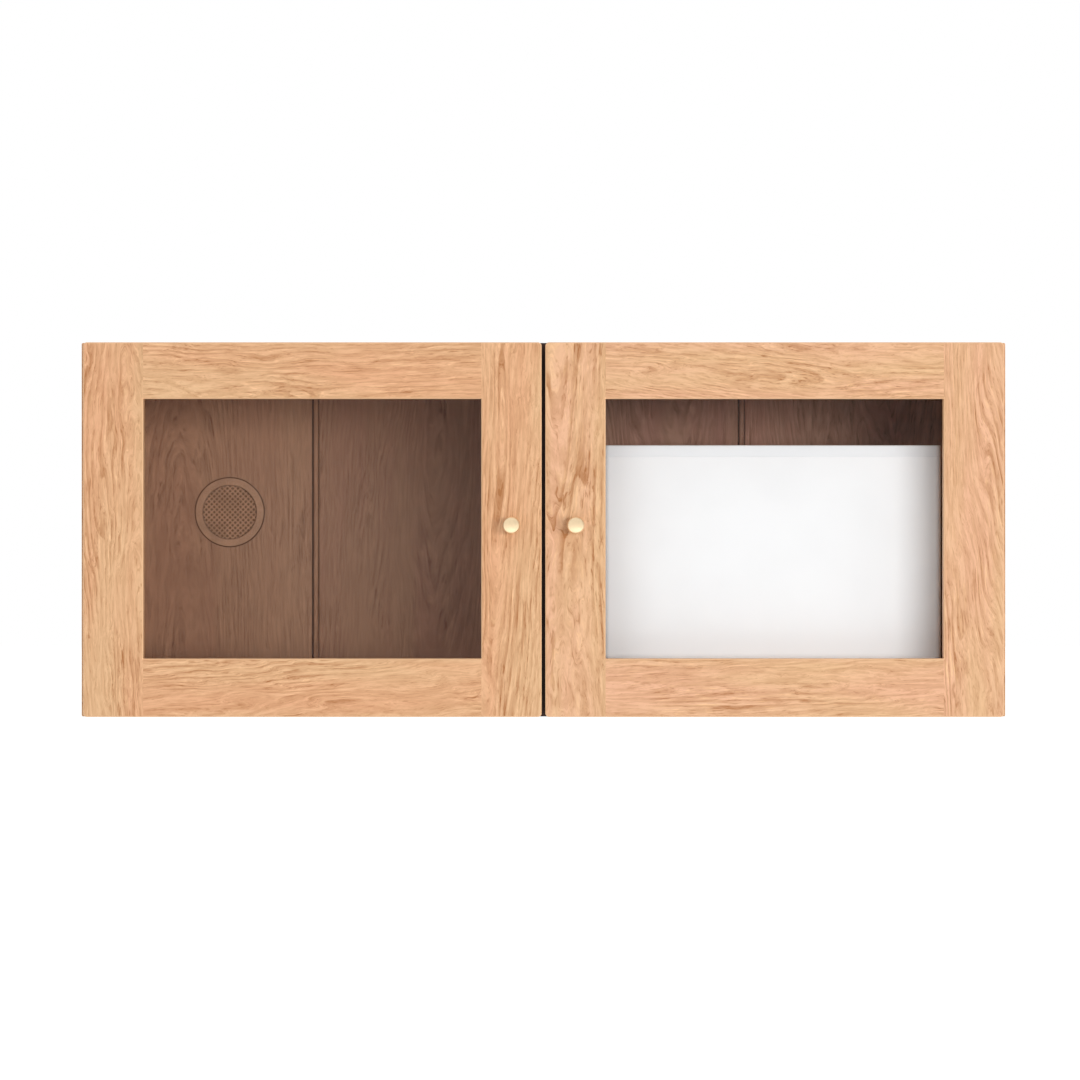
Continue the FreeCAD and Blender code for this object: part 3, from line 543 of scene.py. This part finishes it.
def ring_paint_and_shade():
    """The brown paint, with painted shade along the ring's outer edge and, less so, round its lip."""
    material = painted_brown("brown paint ring", paint(184, 144, 115))
    tree = material.node_tree
    from_axis = axis_distance(tree, object_place(tree), ring_centre)
    outer = spread(tree, from_axis, FLANGE_R - EDGE_SHADE_BAND[0], FLANGE_R - EDGE_SHADE_BAND[1])
    inner = spread(tree, from_axis, SIGHT_R + LIP_SHADE_BAND[0], SIGHT_R + LIP_SHADE_BAND[1])
    share = math_node(tree, "MAXIMUM", outer, math_node(tree, "MULTIPLY", inner, LIP_SHADE_SHARE))
    paint_over(material, share, paint(98, 67, 49))
    return material


vent_ring = turned_piece("vent_ring_turned", ring_profile, ring_centre, segments=128)
vent_ring.data.materials.append(ring_paint_and_shade())
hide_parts("vent_ring")
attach(vent_ring, "case")

LATTICE_PITCH = 0.0044
LATTICE_CLEARANCE = 0.0004
BAR_SIDES = 12
BAR_HALF_W = 0.00078
BAR_HALF_T = (mesh_high.y - mesh_low.y) / 2


def lattice():
    """Bars in two directions at 45 degrees, each as long as its chord of the disc.

    A bar's section is an ellipse, carried along a straight path between the two ends of the chord.
    """
    reach = (mesh_high.x - mesh_low.x) / 2 - LATTICE_CLEARANCE
    count = int(reach / LATTICE_PITCH)
    middle = np.array([ring_centre[0], (mesh_low.y + mesh_high.y) / 2, ring_centre[2]])
    angle = np.linspace(0, 2 * math.pi, BAR_SIDES, endpoint=False)
    points, faces = [], []
    for turn in (math.pi / 4, -math.pi / 4):
        along = np.array([math.cos(turn), 0, math.sin(turn)])
        across = np.array([-math.sin(turn), 0, math.cos(turn)])
        section = (np.outer(np.cos(angle) * BAR_HALF_W, across)
                   + np.outer(np.sin(angle) * BAR_HALF_T, (0, 1, 0)))
        for shift in (np.arange(-count, count) + 0.5) * LATTICE_PITCH:
            half = math.sqrt(max(reach ** 2 - (abs(shift) + BAR_HALF_W) ** 2, 1e-8))
            ends = ((-half, 0), (-half, 1), (half, 1), (half, 0))
            rows = [middle + along * end + across * shift + swell * section for end, swell in ends]
            faces += weave_faces(len(ends), BAR_SIDES, len(points), closed=False)
            points += np.concatenate(rows).tolist()
    return points, faces


vent_lattice = put_in("vent_lattice", *lattice(), sharp=math.radians(60))
vent_lattice.data.materials.append(painted_brown("brown paint lattice", paint(194, 150, 119)))
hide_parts("vent_mesh")
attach(vent_lattice, "case")
finish_node("vent_retainer", painted_brown("brown paint retainer", paint(120, 88, 70)))


def felt(name, tone):
    """Needled felt: matt, matted in short crossing fibres, with a soft mottle."""
    material, tree, shader = new_material(name)
    place = object_place(tree)
    across = scaled_noise(tree, place, (2600.0, 900.0, 500.0), 3.0, roughness=0.6, distortion=1.0)
    along = scaled_noise(tree, place, (500.0, 900.0, 2600.0), 3.0, roughness=0.6, distortion=1.0)
    fuzz = math_node(tree, "MAXIMUM", across, along)
    raised = spread(tree, fuzz, 0.45, 0.70)
    tree.links.new(blend_colours(tree, raised, shade_of(tone, 0.55), tone), shader.inputs["Base Color"])
    add_relief(tree, shader, fuzz, strength=0.5, distance=0.0004)
    shader.inputs["Roughness"].default_value = 0.95
    return material


finish_node("vent_filter", felt("brown felt", paint(158, 124, 98)))


# ---- Display plinth ----
# A white painted box of board stands in the right bay: four walls with round upright corners and
# a lid that drops in. The paint is matt, with the faint texture of a roller; the lid's white is a
# shade darker than the walls', as painted shade.

def loop_path(low, high, radius, steps=12):
    """Plan of a rectangle with round corners, as points in x and y, anticlockwise from its first corner."""
    corners = [(low[0], low[1]), (high[0], low[1]), (high[0], high[1]), (low[0], high[1])]
    return round_off(corners, [radius] * 4, steps)


LEAST_CORNER = 1e-4


def box_shell(name, low, high, radius, profile, solid=False):
    """Profile of (inset, height) carried round a rectangular plan with round corners.

    The profile closes on itself, or, where the piece is solid, ends in two flat faces.
    """
    rows = []
    for inset, height in profile:
        corner = max(radius - inset, LEAST_CORNER)
        plan = loop_path((low.x + inset, low.y + inset), (high.x - inset, high.y - inset), corner)
        rows.append(np.column_stack([plan, np.full(len(plan), height)]))
    count = len(rows[0])
    faces = weave_faces(len(rows), count, closed=not solid)
    if solid:
        faces += [list(range(count)), list(range((len(rows) - 1) * count, len(rows) * count))]
    return put_in(name, np.concatenate(rows).tolist(), faces)


def white_paint(name, tone):
    """Matt white paint: a roller's low stipple and hardly any change of tone."""
    material, tree, shader = new_material(name)
    place = object_place(tree)
    cloud = spread(tree, scaled_noise(tree, place, (9.0, 9.0, 9.0), 3.0), 0.3, 0.7)
    tree.links.new(blend_colours(tree, cloud, tone, shade_of(tone, 0.96)), shader.inputs["Base Color"])
    stipple = scaled_noise(tree, place, (900.0, 900.0, 900.0), 3.0)
    add_relief(tree, shader, stipple, strength=0.12, distance=0.0002)
    tree.links.new(between(tree, stipple, 0.55, 0.65), shader.inputs["Roughness"])
    return material


PLINTH_R = 0.008
PLINTH_WALL = 0.009
PLINTH_ARRISES = [0, 0, 0.0003, 0.0004]
CAP_EDGE = 0.0015
CAP_EDGE_POINTS = 6
STEP_CLEARANCE = 0.0005
STEP_INSET = PLINTH_WALL + STEP_CLEARANCE
body_low, body_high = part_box("plinth_body")
cap_low, cap_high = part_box("plinth_cap")
walls = round_off([(0, body_low.z), (PLINTH_WALL, body_low.z), (PLINTH_WALL, body_high.z), (0, body_high.z)],
                  PLINTH_ARRISES, steps=4)
plinth_walls = box_shell("plinth_walls", body_low, body_high, PLINTH_R, walls)
plinth_walls.data.materials.append(white_paint("white paint walls", paint(251, 251, 253)))
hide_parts("plinth_body")
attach(plinth_walls, "case")

edge_turn = np.linspace(0, math.pi / 2, CAP_EDGE_POINTS)
edge = np.column_stack([CAP_EDGE * (1 - np.cos(edge_turn)), cap_high.z - CAP_EDGE * (1 - np.sin(edge_turn))])
lid = np.concatenate([[(STEP_INSET, cap_low.z), (STEP_INSET, body_high.z), (0, body_high.z)], edge])
plinth_lid = box_shell("plinth_lid", cap_low, cap_high, PLINTH_R, lid, solid=True)
# The lid's white is darker than the walls': painted shade.
plinth_lid.data.materials.append(white_paint("white paint lid", paint(242, 243, 246)))
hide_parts("plinth_cap")
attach(plinth_lid, "case")


# ---- Glass ----
# Each door has one pane of clear float glass, 4 mm thick, which the beads hold in the rebate. It
# lets light through without a shadow, as a thin clean pane does.

PANE_IOR = 1.17
PANE_SMEAR = 0.02


def clear_glass():
    """Clear glass with the faintest smear in its gloss, and open to light from lamps."""
    material, tree, shader = new_material("clear glass")
    smear = spread(tree, scaled_noise(tree, object_place(tree), (7.0, 7.0, 5.0), 3.0), 0.45, 0.75)
    shader.inputs["Base Color"].default_value = (0.995, 0.997, 0.996, 1)
    shader.inputs["Transmission Weight"].default_value = 1.0
    shader.inputs["IOR"].default_value = PANE_IOR
    tree.links.new(math_node(tree, "MULTIPLY", smear, PANE_SMEAR), shader.inputs["Roughness"])
    through = add_node(tree, "ShaderNodeBsdfTransparent", [("Color", (0.97, 0.975, 0.972, 1))])
    path = add_node(tree, "ShaderNodeLightPath").outputs
    lamp_ray = math_node(tree, "MAXIMUM", path["Is Shadow Ray"], path["Is Diffuse Ray"])
    mixed = add_node(tree, "ShaderNodeMixShader", [
        (0, lamp_ray), (1, shader.outputs[0]), (2, through.outputs[0])])
    tree.links.new(mixed.outputs[0], tree.nodes["Material Output"].inputs["Surface"])
    return material


pane = clear_glass()
for door in ("left_", "right_"):
    finish_node(door + "glass", pane)


# ---- Knobs ----
# Turned brass knobs with a small foot, a waisted neck and a nearly flat face, brushed to a pale satin.
# Each is held by a machine screw from the back of its stile.

def metal(name, tone, roughness, lines=(0, 0, 0), centre=None):
    """Metal with fine tool marks: lines gives how fast the marks change along each axis, per metre.

    With a centre, the marks are rings round the y axis through it, as turning leaves them.
    """
    material, tree, shader = new_material(name)
    place = object_place(tree)
    if centre is None:
        marks = scaled_noise(tree, place, lines, 3.0, roughness=0.7)
    else:
        _, y, _ = parts_of(tree, place)
        turned = add_node(tree, "ShaderNodeCombineXYZ", [(0, axis_distance(tree, place, centre)), (1, y)])
        marks = scaled_noise(tree, turned.outputs[0], (6000.0, 6000.0, 1.0), 2.0, roughness=0.6)
    cloud = spread(tree, scaled_noise(tree, place, (130.0, 130.0, 130.0), 3.0), 0.35, 0.7)
    tree.links.new(blend_colours(tree, cloud, tone, shade_of(tone, 0.90)), shader.inputs["Base Color"])
    shader.inputs["Metallic"].default_value = 1.0
    tree.links.new(between(tree, cloud, roughness, roughness + 0.08), shader.inputs["Roughness"])
    add_relief(tree, shader, marks, strength=0.12, distance=0.00005)
    return material


# The knob's radii as shares of its face's, and the flare of its neck as shares of its length
FOOT_SHARE, NECK_SHARE = 0.62, 0.49
FLARE_START, FLARE_END = 0.39, 0.63
KNOB_RIM = 0.0030
KNOB_DOME = 0.0007
FOOT_THICK, FOOT_SLOPE_END = 0.0015, 0.0030
FOOT_ROUNDS = [0, 0.0003, 0.0004, 0.0008]
DOME_START = 0.92
FLARE_POINTS, RIM_POINTS, DOME_POINTS = 14, 12, 10


def knob_profile(radius, length):
    """Half section of the knob as (radius, depth), from its foot's centre at 0 to its face's at -length.

    The flare is a parabola between the neck and the rim, the rim a quarter circle, the face a low dome.
    """
    foot, neck, flat = FOOT_SHARE * radius, NECK_SHARE * radius, radius - KNOB_RIM
    flare = np.linspace(0, 1, FLARE_POINTS)[:, None]
    start, end = np.array([neck, -FLARE_START * length]), np.array([radius, -FLARE_END * length])
    pull = np.array([neck, -FLARE_END * length])
    bell = (1 - flare) ** 2 * start + 2 * flare * (1 - flare) * pull + flare ** 2 * end
    turn = np.linspace(0, math.pi / 2, RIM_POINTS)
    face = -length + KNOB_DOME
    lip = np.column_stack([flat + KNOB_RIM * np.cos(turn), face + KNOB_RIM * (1 - np.sin(turn))])
    share = np.linspace(DOME_START, 0, DOME_POINTS)[:, None]
    dome = np.column_stack([share * flat, face - KNOB_DOME * (1 - share ** 2)])
    base = round_off(
        [(0, 0), (foot, 0), (foot, -FOOT_THICK), (neck, -FOOT_SLOPE_END)], FOOT_ROUNDS, steps=5)
    return np.concatenate([base, bell, lip, dome])


BRASS = (0.985, 0.765, 0.49, 1.0)
for door in ("left_", "right_"):
    knob_low, knob_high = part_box(door + "knob")
    centre = ((knob_low.x + knob_high.x) / 2, knob_high.y, (knob_low.z + knob_high.z) / 2)
    radius = (knob_high.x - knob_low.x) / 2
    profile = knob_profile(radius, knob_high.y - knob_low.y)
    knob = turned_piece(door + "knob_turned", profile, centre, solid=True)
    knob.data.materials.append(metal(door + "satin brass", BRASS, roughness=0.34, centre=centre))
    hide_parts(door + "knob")
    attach(knob, door + "door")


# ---- Hinge hardware, catches and screws ----
# Zinc plated pressings, brass pivot bushes, brown moulded catches and pale soft bumpers. The screws
# are plated steel with a pressed cross recess in each head, and hold by plain shanks within the wood.

def solids_of(node):
    """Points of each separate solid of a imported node, as arrays, from a merged copy of its mesh."""
    work = bmesh.new()
    work.from_mesh(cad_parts[node].data)
    bmesh.ops.remove_doubles(work, verts=work.verts, dist=1e-6)
    waiting = set(work.verts)
    solids = []
    while waiting:
        reached = [waiting.pop()]
        for point in reached:
            near = {edge.other_vert(point) for edge in point.link_edges} & waiting
            waiting -= near
            reached += near
        solids.append(np.array([point.co for point in reached]))
    work.free()
    return sorted(solids, key=lambda solid: tuple(solid.mean(axis=0)))


# Sizes of a screw's head and recess as shares of its radius, and the points across and around its face
SLOT_HALF_WIDTH, CROSS_REACH, CROSS_SLOPE, CROSS_DEPTH = 0.13, 0.58, 0.11, 0.34
RIM_START, RIM_FALL = 0.88, 0.05
FACE_ROWS, SCREW_SEGMENTS = 24, 64
END_BAND = 2e-4
AXIS_BAND = 1e-4


def cross_screw(solid, axis):
    """Rows of points of a screw in a solid's place, its axis along one of x, y and z.

    Below its face the screw is the solid's own outline of (radius, depth), carried round the axis. The
    face sinks by a smooth step of the distance inside a cross, min(|p|, |q|) - half a slot's width or
    max(|p|, |q|) - the cross's reach, whichever is more, and its rim falls away by a small square.
    """
    others = [part for part in range(3) if part != axis]
    low, high = solid.min(axis=0), solid.max(axis=0)
    centre = (low + high) / 2
    radius = np.hypot(*(solid[:, others] - centre[others]).T)
    ends = [radius[np.abs(solid[:, axis] - end[axis]) < END_BAND].max() for end in (low, high)]
    head, inward = (low[axis], 1) if ends[0] > ends[1] else (high[axis], -1)
    depth = (solid[:, axis] - head) * inward
    outline = np.unique(np.round(np.column_stack([depth, -radius]), 5), axis=0)
    outline = outline[outline[:, 1] < -AXIS_BAND] * (1, -1)
    full = radius.max()
    angle = np.linspace(0, 2 * math.pi, SCREW_SEGMENTS, endpoint=False)
    share = np.linspace(0, 1, FACE_ROWS)[:, None]
    p, q = np.abs(share * np.cos(angle)), np.abs(share * np.sin(angle))
    outside = np.maximum(np.minimum(p, q) - SLOT_HALF_WIDTH, np.maximum(p, q) - CROSS_REACH)
    within = np.clip(-outside / CROSS_SLOPE, 0, 1)
    fallen = np.clip((share - RIM_START) / (1 - RIM_START), 0, 1) ** 2
    sunk = full * (CROSS_DEPTH * within ** 2 * (3 - 2 * within) + RIM_FALL * fallen)
    below = outline[outline[:, 0] > END_BAND]
    below = np.concatenate([below, [[below[-1, 0], 0]]])
    once_round = np.ones(SCREW_SEGMENTS)
    reach = np.concatenate([full * share * once_round, below[:, 1:] * once_round])
    depths = np.concatenate([sunk, below[:, :1] * once_round])
    points = np.empty((*reach.shape, 3))
    points[..., others[0]] = centre[others[0]] + reach * np.cos(angle)
    points[..., others[1]] = centre[others[1]] + reach * np.sin(angle)
    points[..., axis] = head + inward * depths
    return points.reshape(-1, 3)


ZINC = (0.62, 0.61, 0.59, 1.0)
zinc = metal("zinc plate", ZINC, roughness=0.30, lines=(300.0, 300.0, 2500.0))
for name in ("left_pivot_brackets", "right_pivot_brackets", "catch_poles", "left_strike_plate",
             "right_strike_plate"):
    finish_node(name, zinc)
# The axis that each group of screws is driven along, as 1 for y and 2 for z, and its body
SCREWS = {"pivot_screws": (1, "case"), "back_screws": (1, "case"), "cleat_screws": (2, "case"),
          "left_knob_screw": (1, "left_door"), "right_knob_screw": (1, "right_door")}
for name, (axis, body) in SCREWS.items():
    points, faces = [], []
    for solid in solids_of(name):
        rows = cross_screw(solid, axis)
        faces += weave_faces(len(rows) // SCREW_SEGMENTS, SCREW_SEGMENTS, len(points), closed=False)
        points += rows.tolist()
    screws = put_in(name + "_driven", points, faces)
    screws.data.materials.append(zinc)
    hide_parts(name)
    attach(screws, body)
bush_brass = metal("bush brass", BRASS, roughness=0.28, lines=(2500.0, 2500.0, 300.0))
for door in ("left_", "right_"):
    finish_node(door + "pivot_bushes", bush_brass)


def moulded(name, tone, roughness, coat=0.0):
    """Moulded plastic or rubber: a fine spark-eroded grain and a slight mottle."""
    material, tree, shader = new_material(name)
    place = object_place(tree)
    mottle = spread(tree, scaled_noise(tree, place, (80.0, 80.0, 80.0), 3.0), 0.3, 0.7)
    tree.links.new(blend_colours(tree, mottle, tone, shade_of(tone, 0.85)), shader.inputs["Base Color"])
    grain = scaled_noise(tree, place, (2500.0, 2500.0, 2500.0), 2.0)
    add_relief(tree, shader, grain, strength=0.2, distance=0.0001)
    tree.links.new(between(tree, mottle, roughness, roughness + 0.06), shader.inputs["Roughness"])
    shader.inputs["Coat Weight"].default_value = coat
    return material


finish_node("catch_housings", moulded("brown moulding", paint(96, 70, 56), roughness=0.45))
for door in ("left_", "right_"):
    bumper = moulded(door + "soft bumper", paint(214, 212, 206), roughness=0.30, coat=0.2)
    finish_node(door + "bumpers", bumper)


# ---- Room ----
# A pale floor well below the case, a wide soft lamp on the right at the height of the doors, a weak
# one high on the left and an even white sky. The camera looks straight at the doors.

FLOOR_DROP = 1.30
FLOOR_HALF = 30.0
low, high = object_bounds()
floor_z = low.z - FLOOR_DROP
corners = [(-FLOOR_HALF, -FLOOR_HALF, floor_z), (FLOOR_HALF, -FLOOR_HALF, floor_z),
           (FLOOR_HALF, FLOOR_HALF, floor_z), (-FLOOR_HALF, FLOOR_HALF, floor_z)]
floor_mesh = bpy.data.meshes.new("floor")
floor_mesh.from_pydata(corners, [], [(0, 1, 2, 3)])
floor = bpy.data.objects.new("floor", floor_mesh)
bpy.context.scene.collection.objects.link(floor)

FLOOR_GLOW_NEAR, FLOOR_GLOW_FAR = 0.22, 0.67
GLOW_START, GLOW_FULL = 0.7, 1.8


def seen_rays(tree, glossy_share=1.0):
    """1 on rays from the eye or through glass, and a share on reflected ones."""
    path = add_node(tree, "ShaderNodeLightPath").outputs
    seen = math_node(tree, "MAXIMUM", path["Is Camera Ray"], path["Is Transmission Ray"])
    return math_node(tree, "MAXIMUM", seen, math_node(tree, "MULTIPLY", path["Is Glossy Ray"], glossy_share))


def floor_material():
    """Pale matt floor that turns as white as the sky, to the eye and in reflections, away from the object."""
    material, tree, shader = new_material("pale floor")
    shader.inputs["Base Color"].default_value = (0.86, 0.86, 0.86, 1)
    shader.inputs["Roughness"].default_value = 0.9
    shader.inputs["Specular IOR Level"].default_value = 0.0
    x, y, _ = parts_of(tree, object_place(tree))
    away = spread(tree, hypotenuse(tree, x, y), GLOW_START, GLOW_FULL)
    glow = between(tree, away, FLOOR_GLOW_NEAR, FLOOR_GLOW_FAR)
    tree.links.new(math_node(tree, "MULTIPLY", seen_rays(tree), glow), shader.inputs["Emission Strength"])
    shader.inputs["Emission Color"].default_value = (1, 1, 1, 1)
    return material


floor.data.materials.append(floor_material())


def sky(ambient, glossy_share):
    """White sky: full strength to the eye and in glass, a share of it in gloss, and ambient as light."""
    world = bpy.data.worlds.new("sky")
    world.use_nodes = True
    tree = world.node_tree
    strength = math_node(tree, "MAXIMUM", seen_rays(tree, glossy_share), ambient)
    tree.nodes["Background"].inputs["Color"].default_value = (1, 1, 1, 1)
    tree.links.new(strength, tree.nodes["Background"].inputs["Strength"])
    bpy.context.scene.world = world


sky(ambient=0.50, glossy_share=0.9)


def aim(thing, place, target):
    """Put a lamp or camera at a place, looking at a target, with +Z up."""
    direction = np.array(target, float) - np.array(place, float)
    thing.location = place
    thing.rotation_euler = (
        math.atan2(math.hypot(direction[0], direction[1]), -direction[2]), 0,
        math.atan2(direction[1], direction[0]) - math.pi / 2)


middle = [(low[axis] + high[axis]) / 2 for axis in range(3)]


def soft_lamp(name, offset, width, height, power):
    """Rectangular area lamp aimed at the middle, and left out of reflections so that no pane shows it."""
    data = bpy.data.lights.new(name, "AREA")
    data.shape = "RECTANGLE"
    data.size = width
    data.size_y = height
    data.energy = power
    lamp = bpy.data.objects.new(name, data)
    lamp.visible_glossy = False
    lamp.visible_transmission = False
    bpy.context.scene.collection.objects.link(lamp)
    aim(lamp, (middle[0] + offset[0], offset[1], middle[2] + offset[2]), middle)


soft_lamp("key", offset=(2.1, -5.2, 0.16), width=3.2, height=1.0, power=139)
soft_lamp("fill", offset=(-2.4, -4.4, 1.4), width=2.4, height=2.4, power=32)

CAMERA_DISTANCE = 2.5
CAMERA_LENS = 78.5
CAMERA_RIGHT, CAMERA_UP = -0.0037, -0.011
DOOR_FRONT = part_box("left_top_rail")[0].y
side_low, side_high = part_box("side_left")
camera_place = (CAMERA_RIGHT, DOOR_FRONT - CAMERA_DISTANCE, (side_low.z + side_high.z) / 2 + CAMERA_UP)
camera_data = bpy.data.cameras.new("camera")
camera_data.lens = CAMERA_LENS
camera = bpy.data.objects.new("camera", camera_data)
bpy.context.scene.collection.objects.link(camera)
aim(camera, camera_place, (camera_place[0], 0, camera_place[2]))
bpy.context.scene.camera = camera
bpy.context.scene.view_settings.view_transform = "Standard"
